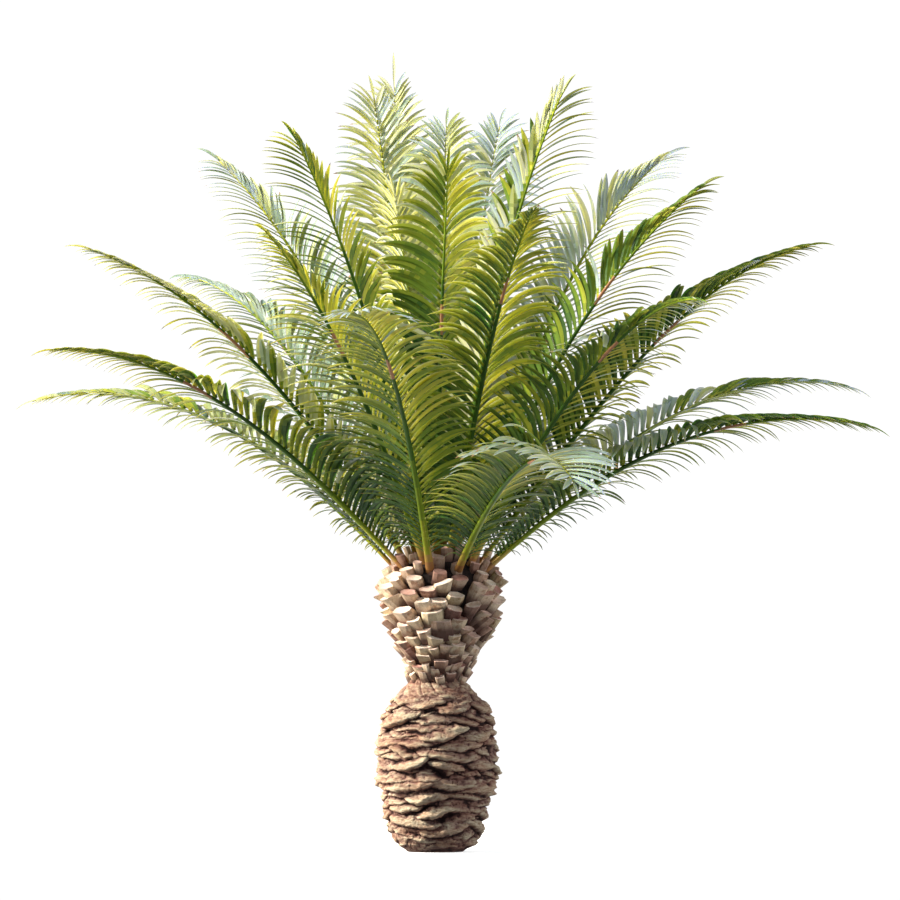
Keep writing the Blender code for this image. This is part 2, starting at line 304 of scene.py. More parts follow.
def leaflet_set(frond, rng, number):
    """Where each leaflet of a frond starts, which way it goes, how long and wide it is, and where it bends to."""
    rows = []
    for side in (1, -1):
        u = 0.035 + rng.uniform(0, 0.5) * SPACING / frond.reach
        while u < RIB_END - 0.008:
            gap = SPACING * lerp(u, ((0.0, 0.50), (0.22, 0.90), (0.3, 1.0), (0.8, 1.0), (1.0, 0.66)))
            if number == 20:
                gap *= 1.0 + 0.55 * float(smooth((u - 0.45) / 0.25))
            rows.append((u + rng.normal(0, 0.07) * gap / frond.reach, side, 0))
            u += gap / frond.reach
    rows.append((RIB_END, 1, 1))
    u = np.clip([r[0] for r in rows], 0, 1)
    side = np.array([r[1] for r in rows], float)
    end = np.array([r[2] for r in rows], bool)
    n = len(u)
    p, fore, left, up = frond.at(u, True)
    slope = np.degrees(np.interp(u, frond.grid, frond.slope))
    level = np.stack([-np.sin(np.interp(u, frond.grid, frond.course)), np.cos(np.interp(u, frond.grid, frond.course)),
                      np.zeros(n)], 1)
    wave = noise3(np.stack([u * 9.0, side * 3.1, np.full(n, number * 1.7)], 1), 5)
    # 1 on the wing that the frond's roll raises, -1 on the one it lowers
    q = np.clip(side * frond.roll / frond.most, -1, 1)
    raised, lowered = np.clip(q, 0, 1), np.clip(-q, 0, 1)
    low = smooth((58 - slope) / 36)                   # 1 where the rib lies low
    outer = smooth((u - 0.42) / 0.36)
    end_on = number in (20, 21)                       # these come towards the front and open into a fan
    even = lerp(u, ((0.03, 60), (0.15, 56), (0.40, 51), (0.70, 46), (0.88, 37), (RIB_END, 22)))
    inner_low = lerp(u, ((0.03, 62), (0.15, 62), (0.40, 57), (0.54, 45), (0.66, 27), (0.78, 18), (0.88, 13), (RIB_END, 9)))
    inner_steep = lerp(u, ((0.03, 54), (0.15, 52), (0.40, 46), (0.70, 39), (0.88, 27), (RIB_END, 13)))
    inner_wing = inner_steep + (inner_low - inner_steep) * low
    outer_wing = lerp(u, ((0.03, 57), (0.15, 54), (0.40, 49), (0.70, 43), (0.88, 33), (RIB_END, 18)))
    spread = even + (inner_wing - even) * raised + (outer_wing - even) * lowered
    if end_on:
        spread = lerp(u, ((0.03, 60), (0.15, 56), (0.40, 53), (0.62, 58), (0.78, 54), (0.88, 40), (RIB_END, 12)))
        low = low * 0.35
    spread = spread * (1 - (0.34 + 0.16 * raised) * low * outer)
    spread = spread * (1 - {3: 0.30, 12: 0.26}.get(number, 0.0) * raised) * (1 - 0.16 * lowered * low * outer)
    odd = (rng.random(n) < 0.05) * rng.normal(0, 9, n)
    spread = np.radians(spread + rng.normal(0, 2.2, n) * (1 - 0.3 * raised) + wave * 4 * (1 - 0.5 * raised) + odd)
    lift = lerp(u, ((0.03, 26), (0.15, 34), (0.35, 42), (0.70, 42), (0.88, 34), (RIB_END, 18)))
    flatter = 1 - 0.34 * (1 - raised) * (1 - lowered)
    steep = smooth((slope - 54) / 14)
    lift = np.radians(lift * flatter * (1 - 0.58 * raised * steep) * (1 - 0.42 * low * outer) + (rng.normal(0, 3.0, n) + wave * 5) * (1 - 0.5 * raised) + odd)
    length = lerp(u, ((0.03, 0.16), (0.06, 0.29), (0.10, 0.37), (0.15, 0.41), (0.24, 0.45), (0.35, 0.48), (0.62, 0.47), (0.76, 0.40),
                      (0.87, 0.29), (RIB_END, 0.18))) * (1 + rng.normal(0, 0.035, n)) * (1 - (0.16 + 0.30 * lowered) * low * outer)
    length = length * (0.86 if number == 1 else 1.0) * (1 - 0.38 * raised * low * outer) * (1 - SHORTER.get(number, 0.0) * raised)
    length = length * (1 + (0.34 if number == 20 else 0.26 * lowered) * smooth((u - 0.72) / 0.22)) * (1 - 0.30 * raised * steep)
    width = lerp(u, ((0.03, 0.015), (0.08, 0.027), (0.14, 0.038), (0.24, 0.050), (0.40, 0.056), (0.75, 0.052),
                     (0.90, 0.037), (1.0, 0.022))) * (1 + rng.normal(0, 0.05, n)) * (1 + 0.14 * raised)
    width = width * (1 - 0.34 * lowered * np.maximum(low, outer)) * (1 - 0.12 * raised + 0.20 * raised * steep)
    width = width * (1 - 0.46 * raised * low * smooth((u - 0.50) / 0.30)) * (1 - (0.22 if number == 3 else 0.0) * raised)
    if number == 20:
        length = np.maximum(length, lerp(u, ((0.5, 0.0), (0.6, 0.47), (0.8, 0.42), (RIB_END, 0.33))))
        width = width * (1 + 0.15 * outer)
    spread, lift = np.where(end, 0.0, spread), np.where(end, 0.0, lift)
    length, width = np.where(end, (1 - RIB_END) * frond.reach * (1.85 if number == 8 else 1.28), length), np.where(end, 0.022, width)
    d = unit(fore * np.cos(spread)[:, None]
             + (left * (side * np.cos(lift))[:, None] + up * np.sin(lift)[:, None]) * np.sin(spread)[:, None])
    # where the tip ends up pointing: outward, level on a steep rib, hanging from a low one
    flat = d * np.array([1.0, 1.0, 0.0])
    away = flat + level * (side * (0.10 + 0.80 * raised * low * (1 - 0.6 * outer)))[:, None]
    away = unit(away)
    dip = lerp(slope, ((0, -44), (20, -38), (45, -24), (62, -8), (80, 3)))
    dip = dip + raised * lerp(slope, ((30, 0), (50, 16), (70, 34), (80, 38))) - 5 * lowered - 26 * smooth((0.16 - u) / 0.12)
    dip = dip - 24 * (1 - raised) * (1 - lowered) * smooth((slope - 48) / 20)
    if end_on:
        dip = dip * 0.55
    dip = np.radians(dip + rng.normal(0, 6, n) + wave * 6)
    goal = away * np.cos(dip)[:, None] + np.array([0, 0, 1.0]) * np.sin(dip)[:, None]
    # towards the frond's tip the leaflets run on along the rib
    run = np.maximum((0.60 - 0.30 * lowered) * smooth((u - 0.74) / 0.22), 0.86 * raised * low * smooth((u - 0.52) / 0.24))
    run = run[:, None] * (0.0 if end_on else 1.0)
    goal = unit(goal * (1 - run) + unit(fore + np.array([0, 0, -0.22])) * run)
    straight = (raised * lerp(slope, ((30, 0), (45, 0.35), (58, 0.60), (80, 0.62))))[:, None]      # stiff strips beside a steep rib
    goal = unit(goal * (1 - straight) + d * straight)
    goal[end] = unit(d[end] + np.array([0, 0, -0.60]))
    early = raised * low * (1 - smooth((u - 0.46) / 0.22))   # folds over soon after it starts
    w = unit(fore - (fore * d).sum(1)[:, None] * d)
    w[end] = left[end]
    nrm = unit(np.cross(w, d))
    nrm *= np.sign((nrm * up).sum(1))[:, None]
    # the lowered wing turns its upper faces to the sky
    sky = np.array([0, 0, 1.0]) - d * d[:, 2:3]
    sky = unit(sky)
    phi = np.arctan2((np.cross(nrm, sky) * d).sum(1), (nrm * sky).sum(1))
    even_share = lerp(slope, ((40, 0.20), (70, 0.06)))
    share = even_share + (0.84 - even_share) * lowered + (lerp(slope, ((44, 0.08), (66, 0.22))) - even_share) * raised
    share = share * (1 - 0.5 * smooth((u - 0.75) / 0.2))
    twist = np.where(end, 0.0, np.clip(phi * share, -1.35, 1.35) + np.radians(rng.normal(0, 6, n)))
    base = p + left * (side * rib_half(u) * 0.62 * ~end)[:, None] + up * (rib_thick(u) * 0.45 * ~end)[:, None]
    return dict(u=u, side=side, end=end, base=base, d=d, w=w, n=nrm, length=length, width=width, goal=goal, early=early,
                twist=twist, n_all=n, wave=wave, low=low, raised=raised)


def turn(v, axis_angle):
    """Rotates v about the vector axis_angle by its length."""
    a = np.linalg.norm(axis_angle, axis=1, keepdims=True)
    k = axis_angle / np.maximum(a, 1e-9)
    return v * np.cos(a) + np.cross(k, v) * np.sin(a) + k * (k * v).sum(1, keepdims=True) * (1 - np.cos(a))


def leaflet_meshes(L, rng):
    """Closed folded blades: at each station a left edge, a crease, a right edge and the crease's lower side."""
    n, S = L["n_all"], SEGMENTS
    t = (np.arange(S + 1) / S) ** 0.94
    p, d, w, nrm = L["base"].copy(), L["d"].copy(), L["w"].copy(), L["n"].copy()
    w, nrm = turn(w, d * L["twist"][:, None]), turn(nrm, d * L["twist"][:, None])
    verts = np.zeros((n, S * 4 + 1, 3))
    face_n = np.zeros((n, S + 1, 3))
    shape = np.where(t < 0.36, 0.50 + 0.50 * smooth(t / 0.36), np.clip(1 - ((t - 0.36) / 0.64) ** 2.1, 0, 1) ** 0.85)
    fold0 = np.radians((20 + rng.normal(0, 4, n)) * (1 - 0.15 * L["raised"]))
    # how far each leaflet has turned towards its goal at each share of its length
    axis = np.cross(d, L["goal"])
    whole = np.arctan2(np.linalg.norm(axis, axis=1), (d * L["goal"]).sum(1))
    axis = unit(axis)
    power = 1.55 + rng.normal(0, 0.12, n)
    reached = np.zeros(n)
    for k in range(S + 1):
        if k:
            dt = t[k] - t[k - 1]
            mid = (t[k] + t[k - 1]) / 2
            late = mid ** power
            soon = smooth((mid - 0.06) / 0.50)
            want = whole * (late + (soon - late) * L["early"])
            step = want - reached
            reached = want
            rot = axis * step[:, None]
            d, w, nrm = turn(d, rot), turn(w, rot), turn(nrm, rot)
            p = p + d * (L["length"] * dt)[:, None]
        face_n[:, k] = nrm
        if k == S:
            verts[:, S * 4] = p
            break
        half = (L["width"] * 0.5 * shape[k])[:, None]
        fold = (fold0 * (1.0 - 0.45 * t[k]))[:, None]
        side = w * np.cos(fold)
        rise = nrm * np.sin(fold)
        verts[:, 4 * k + 0] = p - side * half + rise * half
        verts[:, 4 * k + 1] = p
        verts[:, 4 * k + 2] = p + side * half + rise * half
        verts[:, 4 * k + 3] = p - nrm * (0.0022 * (1 - 0.6 * t[k]))
    # how squarely each part of a leaflet faces the key lamp, which leaflet_tones paints as light shining through the
    # blade
    L["sunny"] = np.clip(face_n @ SUN, -1, 1)
    # faces of one leaflet whose w, n and d turn left-handed or right-handed
    quads, kinds, halves, along, stations = [], [], [], [], []
    for k in range(S - 1):
        a, b = 4 * k, 4 * (k + 1)
        for i, j, kind, half in ((0, 1, 0, 0), (1, 2, 0, 1), (2, 3, 1, 1), (3, 0, 1, 0)):
            quads.append((a + i, a + j, b + j, b + i))
            kinds.append(kind)
            halves.append(half)
            along.append(t[k])
            stations.append(k)
    quads = np.array(quads)
    tip = [(4 * (S - 1) + i, 4 * (S - 1) + j, 4 * S) for i, j in ((0, 1), (1, 2), (2, 3), (3, 0))]
    tip = np.array(tip)
    tip_kind = [(0, 0), (0, 1), (1, 1), (1, 0)]
    hand = (np.cross(w, nrm) * d).sum(1) > 0         # True where the listed faces look inward
    faces, info = [], []
    size = S * 4 + 1
    for i in range(n):
        q, tp = quads + i * size, tip + i * size
        b = np.array([3, 2, 1, 0]) + i * size
        if hand[i]:
            q, tp, b = q[:, ::-1], tp[:, ::-1], b[::-1]
        faces += q.tolist() + tp.tolist() + [b.tolist()]
        info += [(i, kind, a, k, half) for kind, a, k, half in zip(kinds, along, stations, halves)]
        info += [(i, kind, 1.0, S, half) for kind, half in tip_kind] + [(i, 1, 0.0, 0, 0)]
    return verts.reshape(-1, 3), faces, np.array(info), size


# share of leaflets with a warm, cream to yellow upper side, by frond number; the rest are blue-green
WARM = {1: 0.90, 2: 0.60, 3: 0.88, 4: 0.06, 5: 0.30, 8: 0.80, 9: 0.65, 10: 0.70, 11: 0.12, 12: 0.90, 13: 0.20, 14: 0.25, 18: 0.45, 20: 0.04, 21: 0.06, 25: 0.5, 26: 0.70, 27: 0.75}


# fronds whose upper or lower sides are paler than the rest; partly painted light, paler on fronds that lie in shade
PALE = {2: 0.10, 3: 0.55, 4: -0.20, 5: 0.06, 8: 0.20, 9: 0.16, 10: 0.12, 11: 0.28, 14: 0.40, 17: 0.42, 18: 0.52, 20: 0.12, 21: 0.26}
# share of leaflets whose lower side is as pale as the upper, painted through-light
THROUGH_LIGHT_SHARE = {2: 0.20, 3: 0.88, 4: 0.95, 5: 0.88, 6: 0.50, 7: 0.50, 8: 0.50, 9: 0.50, 10: 0.30, 11: 0.60, 12: 0.80, 14: 0.85, 15: 0.30, 16: 0.12, 17: 0.25, 26: 0.08, 27: 0.25}
# how much lighter each frond's lower-side tones are; partly painted light, raised on fronds that lie in shade
LIGHT = {1: 0.08, 2: 0.10, 3: 0.36, 4: 0.06, 5: 0.06, 6: 0.14, 7: 0.0, 8: 0.20, 9: 0.20, 10: 0.08, 12: 0.24, 14: 0.12, 15: 0.12, 16: 0.14, 17: 0.14, 18: 0.04, 20: 0.06, 21: 0.10, 26: 0.12, 27: 0.18}


def leaflet_tones(L, info, rng, yellow, number):
    """The palette entry of each face: yellower to the tip of the leaflet and of the frond, a little dry at some tips;
    with painted shade, darker near the rib and towards the frond's foot; painted through-light, yellower underneath
    where the sun reaches the upper side and paler above where it reaches the lower side; and one half of each fold
    painted lighter than the other."""
    i = info[:, 0].astype(int)
    kind, t, station = info[:, 1].astype(int), info[:, 2], info[:, 3].astype(int)
    own = rng.normal(0, 0.130, L["n_all"]) * (1 + 0.5 * L["raised"]) + 0.10 * L["wave"]
    u = L["u"][i]
    grain = rng.normal(0, 0.02, len(t))
    tone = 0.24 + LIGHT.get(number, 0.0) + yellow + own[i] + 0.14 * smooth((u - 0.55) / 0.5) + 0.16 * smooth((t - 0.70) / 0.3)
    # painted shade: darker near the rib and towards the foot of the frond, in the middle of the crown
    tone = tone + 0.16 * (t - 0.45) + 0.20 * smooth((0.05 - t) / 0.05) - 0.33 * smooth((0.36 - u) / 0.28) + grain
    # painted light and shade on the fold: one half of each leaflet a little lighter than the other
    crease = (info[:, 4] - 0.5) * (0.16 + 0.10 * L["raised"][i])
    # painted through-light: the lower side yellower where the upper side faces the sun
    tone = tone + crease + 0.38 * smooth((L["sunny"][i, station] - 0.10) / 0.75)
    low_step = np.clip(np.round(tone * 8), 0, 8).astype(int)
    # paler towards the tips; darker near the frond's foot as painted shade
    pale = 0.46 + 1.5 * rng.normal(0, 0.10, L["n_all"])[i] + 0.22 * smooth((u - 0.60) / 0.4) + 0.10 * smooth((t - 0.6) / 0.4) - 0.42 * smooth((0.34 - u) / 0.26)
    # painted through-light: the upper side paler where the lower side faces the sun
    pale = pale + PALE.get(number, 0.0) + 1.3 * crease + grain + 0.50 * smooth((-L["sunny"][i, station] - 0.05) / 0.60)
    warm = rng.random(L["n_all"]) + 0.25 * L["wave"] < WARM.get(number, 0.28)
    high_step = np.where(warm[i], 5 + np.clip(np.round(pale * 3), 0, 3), np.clip(np.round(pale * 4), 0, 4)).astype(int)
    # painted through-light: some leaflets get the pale upper tones underneath as well
    lit_through = rng.random(L["n_all"]) < THROUGH_LIGHT_SHARE.get(number, 0.0) * (1 - 0.75 * L["raised"] * (number not in (3, 4, 5, 12, 14)))
    # the outer leaflets that lie along a low rib stay green above as well
    green = rng.random(L["n_all"]) < (0.0 if number in (3, 4, 5, 11, 14) else 0.80) * L["raised"] * L["low"] * smooth((L["u"] - 0.48) / 0.14)
    high_step = np.where(green[i], 9 + np.clip(low_step + 1, 3, 8), high_step)
    mat = np.where((kind == 1) & ~(lit_through[i] & (t > 0.10)), 9 + low_step, high_step)
    dry = rng.random(L["n_all"]) < 0.16
    mat = np.where(dry[i] & (t > 0.93), 18, mat)
    return mat


def rib_mesh(frond, rng, number):
    """The stalk and rib as one closed tapering tube, flat above with a low keel, rounded below."""
    steps = np.concatenate([np.linspace(-0.050, 0.06, 12), np.linspace(0.07, RIB_END, 60)])
    p, fore, left, up = frond.at(steps, True)
    around = 10
    a = (np.arange(around) + 0.5) / around * 2 * math.pi
    rows = []
    for k, u in enumerate(steps):
        ca, sa = np.cos(a), np.sin(a)
        x = rib_half(u) * np.sign(ca) * np.abs(ca) ** 0.85
        y = rib_thick(u) * np.where(sa > 0, 0.62, 1.05) * np.sign(sa) * np.abs(sa) ** 0.9
        rows.append(p[k] + left[k] * x[:, None] + up[k] * y[:, None])
    verts = np.concatenate(rows)
    faces, mats = [], []
    pink_mid = 0.60 + rng.uniform(-0.04, 0.06)
    pink = rng.random() < 0.75
    for k in range(len(steps) - 1):
        u = (steps[k] + steps[k + 1]) / 2
        for i in range(around):
            j = (i + 1) % around
            faces.append((k * around + i, k * around + j, (k + 1) * around + j, (k + 1) * around + i))
            above = math.sin((a[i] + a[j] + (2 * math.pi if j == 0 else 0)) / 2)
            shade = lerp(u, ((0.0, 0.74), (0.08, 0.76), (0.17, 0.66), (0.30, 0.36), (0.45, 0.14), (0.60, 0.26), (0.75, 0.52), (1.0, 0.86)))
            # painted light and shade: the rib's upper faces lighter, its lower faces darker
            shade += 0.40 * max(0.0, above) + 0.05 * math.sin(7 * above + number)
            if u < 0.055 + 0.02 * math.sin(a[i] * 2 + number):
                mats.append(int(np.clip(round((u + 0.03) / 0.085 * 4), 0, 4)))
            elif pink and abs(u - pink_mid) < 0.026 - 0.012 * above and above < 0.6:
                mats.append(12)
            else:
                mats.append(5 + int(np.clip(round(shade * 6), 0, 6)))
    faces.append(tuple(range(around))[::-1])
    mats.append(0)
    top = (len(steps) - 1) * around
    faces.append(tuple(top + i for i in range(around)))
    mats.append(10)
    return verts, faces, mats


for number, row in enumerate(FRONDS, 1):
    rng = np.random.default_rng(700 + number)
    frond = Frond(*row)
    if number in EVEN:
        frond.roll = math.radians(EVEN[number])
    nodes = ["frond_%02d_inner" % number, "frond_%02d_outer" % number]
    L = leaflet_set(frond, rng, number)
    verts, faces, info, size = leaflet_meshes(L, rng)
    yellow = rng.uniform(-0.04, 0.05)

    def creases(pairs, size=size):
        ring = (pairs % size) // 4
        return ring[:, 0] != ring[:, 1]

    leaves = mesh_object("frond_%02d_leaflets" % number, verts, faces, LEAF_MATS,
                         leaflet_tones(L, info, rng, yellow, number), creases)
    finish_piece(leaves, "frond", *nodes)
    verts, faces, mats = rib_mesh(frond, rng, number)
    rib = mesh_object("frond_%02d_rib" % number, verts, faces, RIB_MATS, mats)
    finish_piece(rib, "frond", *nodes)


# ---------------------------------------------------------------- node helpers
def node(tree, kind, **values):
    made = tree.nodes.new(kind)
    for key, value in values.items():
        setattr(made, key, value)
    return made


def ramp(tree, fac, stops):
    made = tree.nodes.new("ShaderNodeValToRGB")
    while len(made.color_ramp.elements) < len(stops):
        made.color_ramp.elements.new(0.5)
    for e, (pos, colour) in zip(made.color_ramp.elements, stops):
        e.position = pos
        e.color = (*colour, 1.0)
    tree.links.new(fac, made.inputs["Fac"])
    return made.outputs["Color"]


def blend_rgb(tree, fac, a, b, how="MIX"):
    made = tree.nodes.new("ShaderNodeMix")
    made.data_type = "RGBA"
    made.blend_type = how
    made.clamp_factor = True
    if isinstance(fac, float):
        made.inputs[0].default_value = fac
    else:
        tree.links.new(fac, made.inputs[0])
    for socket, value in ((made.inputs[6], a), (made.inputs[7], b)):
        if isinstance(value, tuple):
            socket.default_value = (*value, 1.0)
        else:
            tree.links.new(value, socket)
    return made.outputs[2]


def coords(tree, scale):
    place = tree.nodes.new("ShaderNodeTexCoord")
    mapping = tree.nodes.new("ShaderNodeMapping")
    mapping.inputs["Scale"].default_value = scale
    tree.links.new(place.outputs["Object"], mapping.inputs["Vector"])
    return mapping.outputs["Vector"]


def noise_tex(tree, vector, scale, detail=4.0, rough=0.6, distortion=0.0):
    made = tree.nodes.new("ShaderNodeTexNoise")
    made.inputs["Scale"].default_value = scale
    made.inputs["Detail"].default_value = detail
    made.inputs["Roughness"].default_value = rough
    made.inputs["Distortion"].default_value = distortion
    tree.links.new(vector, made.inputs["Vector"])
    return made.outputs["Fac"]


def attribute(tree, name):
    made = tree.nodes.new("ShaderNodeAttribute")
    made.attribute_name = name
    return made.outputs["Fac"]


def bump(tree, height, strength, distance, normal=None):
    made = tree.nodes.new("ShaderNodeBump")
    made.inputs["Strength"].default_value = strength
    made.inputs["Distance"].default_value = distance
    tree.links.new(height, made.inputs["Height"])
    if normal is not None:
        tree.links.new(normal, made.inputs["Normal"])
    return made.outputs["Normal"]


def rough_material(name, rough, specular=0.2):
    mat = bpy.data.materials.new(name)
    mat.use_nodes = True
    tree = mat.node_tree
    shader = tree.nodes["Principled BSDF"]
    shader.inputs["Roughness"].default_value = rough
    shader.inputs["Specular IOR Level"].default_value = specular
    return mat, tree, shader


def bark_material():
    mat, tree, shader = rough_material("trunk_bark", 0.88, 0.15)
    tone_and_painted_shade = attribute(tree, "tone_and_painted_shade")
    flat = coords(tree, (1.0, 1.0, 3.2))
    broad = noise_tex(tree, flat, 4.5, 3.0, 0.55)
    fibre = noise_tex(tree, coords(tree, (9.0, 9.0, 60.0)), 3.0, 5.0, 0.7, 0.6)
    speck = noise_tex(tree, coords(tree, (1.0, 1.0, 1.6)), 70.0, 4.0, 0.7)
    # the ramp paints shade and highlight: near black in hollows, under folds and in cracks, cream on the lips of the
    # folds
    base = ramp(tree, tone_and_painted_shade, ((0.0, (0.030, 0.017, 0.018)), (0.18, (0.110, 0.058, 0.050)), (0.36, (0.25, 0.150, 0.125)),
                               (0.58, (0.39, 0.275, 0.215)), (0.78, (0.49, 0.382, 0.285)), (1.0, (0.63, 0.545, 0.400))))
    pinkish = blend_rgb(tree, ramp(tree, broad, ((0.42, (0, 0, 0)), (0.60, (0.90, 0.90, 0.90)))), base, (0.80, 0.62, 0.60), "MULTIPLY")
    streaked = blend_rgb(tree, ramp(tree, fibre, ((0.34, (0.95, 0.95, 0.95)), (0.55, (0.0, 0.0, 0.0)))), pinkish, (0.50, 0.38, 0.30), "MULTIPLY")
    dotted = blend_rgb(tree, ramp(tree, speck, ((0.32, (0.7, 0.7, 0.7)), (0.45, (0.0, 0.0, 0.0)))), streaked, (0.55, 0.42, 0.34), "MULTIPLY")
    tree.links.new(dotted, shader.inputs["Base Color"])
    n1 = bump(tree, fibre, 0.80, 0.008)
    n2 = bump(tree, speck, 0.40, 0.004, n1)
    tree.links.new(n2, shader.inputs["Normal"])
    return mat


def soften(field, rows, columns):
    """Running mean of a height field that closes on itself round the trunk."""
    out = field.copy()
    for _ in range(2):
        wide = np.concatenate([out[:, -rows:], out, out[:, :rows]], 1)
        total = np.cumsum(np.pad(wide, ((0, 0), (1, 0))), 1)
        out = (total[:, 2 * rows + 1:] - total[:, :-2 * rows - 1]) / (2 * rows + 1)
        tall = np.pad(out, ((columns, columns), (0, 0)), mode="edge")
        total = np.cumsum(np.pad(tall, ((1, 0), (0, 0))), 0)
        out = (total[2 * columns + 1:] - total[:-2 * columns - 1]) / (2 * columns + 1)
    return out


# ---------------------------------------------------------------- lower trunk: overlapping puffy folds
def build_trunk():
    rng = np.random.default_rng(41)
    around, tall = 380, 236
    top = NECK_Z + 0.040
    th = np.arange(around) / around * 2 * math.pi
    zz = np.linspace(0.0, top, tall)
    TH, ZZ = np.meshgrid(th, zz)                      # rows go up
    R0 = lower_radius(np.minimum(ZZ, NECK_Z))
    # a lens-shaped fold for each old leaf base, set in a rising spiral
    folds = []
    z, k = -0.02, 0
    while z < top - 0.09:
        r = float(lower_radius(z))
        share = lerp(z, ((0.0, 0.75), (0.25, 1.0), (0.80, 1.0), (0.95, 0.8)))
        folds.append((k * 2.399963 + rng.normal(0, 0.10), z + rng.normal(0, 0.008), 0.215 * share * rng.uniform(0.62, 1.40),
                      0.058 * rng.uniform(0.75, 1.30), math.radians(rng.normal(0, 8)), rng.uniform(0.55, 1.20)))
        z += 0.0150 * share / (2 * math.pi * max(r, 0.2))
        k += 1
    H = np.zeros_like(TH)
    LIP = np.zeros_like(TH)
    WHO = np.zeros_like(TH)
    warp = fractal(np.stack([np.cos(TH) * 2.4, np.sin(TH) * 2.4, ZZ * 7], -1), 11)
    warp2 = fractal(np.stack([np.cos(TH) * 5.5, np.sin(TH) * 5.5, ZZ * 12], -1), 17)
    warp3 = fractal(np.stack([np.cos(TH) * 16, np.sin(TH) * 16, ZZ * 40], -1), 19)
    for i, (t0, z0, a, b, tilt, h) in enumerate(folds):
        dth = (TH - t0 + math.pi) % (2 * math.pi) - math.pi
        x = dth * R0
        y = ZZ - z0 + warp * 0.024 + warp2 * 0.010 + warp3 * 0.0046
        x, y = x * math.cos(tilt) + y * math.sin(tilt), -x * math.sin(tilt) + y * math.cos(tilt)
        e = np.clip(np.abs(x) / a, 0, 1)
        hb = b * (1 - e ** 2) ** 0.9 + 1e-6
        s = np.clip(y / hb, -1.001, 1.001)
        g = np.where(s > -0.50, np.clip((1 - s) / 1.50, 0, 1) ** 0.80 * 0.86 + 0.14 * np.sin(np.clip((1 - s) / 1.5, 0, 1) * math.pi / 2),
                     np.clip(1 - (-0.50 - s) / 0.50, 0, 1) ** 0.75)
        lens = h * (1 - e ** 2) ** 0.55 * g * (np.abs(s) < 1)
        better = lens > H
        H = np.where(better, lens, H)
        LIP = np.where(better, np.clip(-s, -1, 1), LIP)
        WHO = np.where(better, (i * 0.61803) % 1.0, WHO)
    H = np.clip(H, 0, 1.22)
    skirt = smooth((ZZ - 0.90) / 0.10)                # smoother under the neck
    foot = smooth(ZZ / 0.05)
    # one deep hollow in front
    hollow_x = ((TH + math.pi / 2 + math.pi) % (2 * math.pi) - math.pi) * R0 - 0.030
    hy = ZZ - 0.487 + hollow_x * 0.35
    hollow = np.exp(-(hollow_x / 0.050) ** 2 - (hy / 0.024) ** 2)
    fine = fractal(np.stack([np.cos(TH) * 9, np.sin(TH) * 9, ZZ * 75], -1), 23)
    cracks = np.abs(fractal(np.stack([np.cos(TH) * 13 + ZZ * 9, np.sin(TH) * 13, ZZ * 30], -1), 29))
    crack = np.clip(1 - cracks / 0.055, 0, 1) ** 1.5
    long_folds = noise3(np.stack([np.cos(TH) * 2.1, np.sin(TH) * 2.1, (ZZ + 0.034 * warp + 0.008 * warp2) * 46], -1), 37)
    long_folds = 1 - 2.2 * np.abs(long_folds)
    wrinkle = np.abs(noise3(np.stack([np.cos(TH) * 3.2 + ZZ * 11, np.sin(TH) * 3.2 - ZZ * 11, ZZ * 13], -1), 31))
    depth = 0.078 * (1 - 0.74 * skirt) * (0.45 + 0.55 * smooth(ZZ / 0.20))
    r = R0 - depth * 0.76 + depth * H * foot + 0.0085 * np.clip(long_folds, -0.8, 1) * (1 - 0.5 * skirt) * foot
    r = r - 0.050 * hollow - 0.0060 * crack * (1 - 0.8 * skirt) + 0.0060 * fine * (1 - 0.6 * skirt)
    crease = np.abs(noise3(np.stack([np.cos(TH) * 5.5 + ZZ * 24, np.sin(TH) * 5.5 - ZZ * 24, ZZ * 30], -1), 43))
    r = r - skirt * (0.009 * smooth(1 - wrinkle / 0.30) + 0.005 * smooth(1 - crease / 0.26))
    r = r + 0.006 * skirt * smooth((1.055 - ZZ) / 0.04)
    drop = 0.30 * depth * H * smooth(LIP) * foot
    Z = np.maximum(ZZ - drop, 0.0)
    Z[0] = 0.0
    X = lean(ZZ) + r * np.cos(TH)
    Y = r * np.sin(TH)
    verts = np.stack([X, Y, Z], -1).reshape(-1, 3)
    stand = r - R0
    near, wide = soften(stand, 4, 3), soften(stand, 14, 8)
    under = np.clip(np.gradient(soften(stand, 2, 1), axis=0) / (top / (tall - 1)), -1, 1.5)     # faces down
    # painted shade and highlight: darker on faces that look down, in the hollows between folds, in the front hollow and
    # in cracks, lighter on fold lips; the fine noise and each fold's own share are the bark's own tone
    tone_and_painted_shade = 0.60 - 0.27 * smooth(under / 0.9) + (stand - near) * 50 + (stand - wide) * 15 - 0.55 * hollow - 0.30 * crack + 0.17 * fine + 0.24 * (WHO - 0.5)
    # in the skirt: painted shade in its wrinkles, creases and cracks
    skirt_tone = 0.70 + (stand - near) * 36 + 0.10 * fine - 0.30 * smooth(1 - wrinkle / 0.14) - 0.22 * smooth(1 - crease / 0.14) - 0.12 * crack
    tone_and_painted_shade = tone_and_painted_shade * (1 - 0.8 * skirt) + skirt_tone * 0.8 * skirt
    # painted shade: darker at the top, under the collar of cut leaf bases
    tone_and_painted_shade = tone_and_painted_shade - 0.35 * smooth((ZZ - (NECK_Z - 0.008)) / 0.03)
    faces = []
    for k in range(tall - 1):
        for i in range(around):
            j = (i + 1) % around
            faces.append((k * around + i, k * around + j, (k + 1) * around + j, (k + 1) * around + i))
